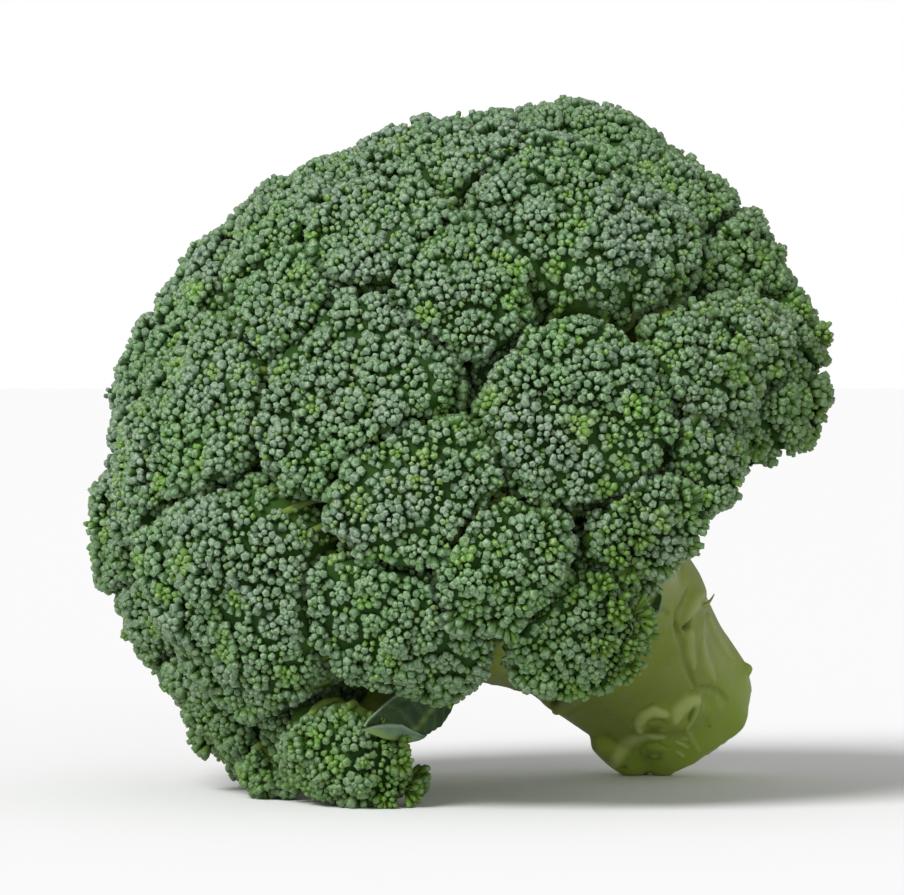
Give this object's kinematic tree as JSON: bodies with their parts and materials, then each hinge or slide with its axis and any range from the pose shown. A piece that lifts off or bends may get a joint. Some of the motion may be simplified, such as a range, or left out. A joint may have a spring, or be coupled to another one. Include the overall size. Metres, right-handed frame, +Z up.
{
  "type": "broccoli head",
  "caption": "Head of broccoli cut with a short branching stalk and a leftover small leaf, lying on its side on the rim of its crown and the edge of the cut end.",
  "frame": {"origin": "centre of the bounding box at floor level, where the head lies", "axes": "+Z up from the floor, +X along the longest side of the box, towards the stalk's side of the head; the cut end points to +X, +Y and down"},
  "size_m": [0.1776, 0.1774, 0.1666],
  "materials": {
    "stalk": "smooth waxy skin, pale yellow green",
    "leaf": "dull waxy leaf, dark green with a paler underside",
    "floret": "matt closed flower buds with a blue-green bloom"
  },
  "bodies": {
    "root": {"stalk": "stalk", "leaf": "leaf", "bract": "leaf", "floret_01": "floret", "floret_02": "floret", "floret_03": "floret", "floret_04": "floret", "floret_05": "floret", "floret_06": "floret", "floret_07": "floret", "floret_08": "floret", "floret_09": "floret", "floret_10": "floret", "floret_11": "floret", "floret_12": "floret", "floret_13": "floret", "floret_14": "floret", "floret_15": "floret", "floret_16": "floret", "floret_17": "floret", "floret_18": "floret", "floret_19": "floret", "floret_20": "floret", "floret_21": "floret", "floret_22": "floret", "floret_23": "floret", "floret_24": "floret", "floret_25": "floret", "floret_26": "floret", "floret_27": "floret", "floret_28": "floret", "floret_29": "floret", "floret_30": "floret", "floret_31": "floret", "floret_32": "floret", "floret_33": "floret", "floret_34": "floret", "floret_35": "floret", "floret_36": "floret", "floret_37": "floret", "floret_38": "floret", "floret_39": "floret", "floret_40": "floret", "floret_41": "floret", "floret_42": "floret", "floret_43": "floret", "floret_44": "floret", "floret_45": "floret", "floret_46": "floret", "floret_47": "floret", "floret_48": "floret", "floret_49": "floret", "floret_50": "floret", "floret_51": "floret", "floret_52": "floret", "floret_53": "floret", "floret_54": "floret", "floret_55": "floret", "floret_56": "floret"}
  },
  "joints": []
}
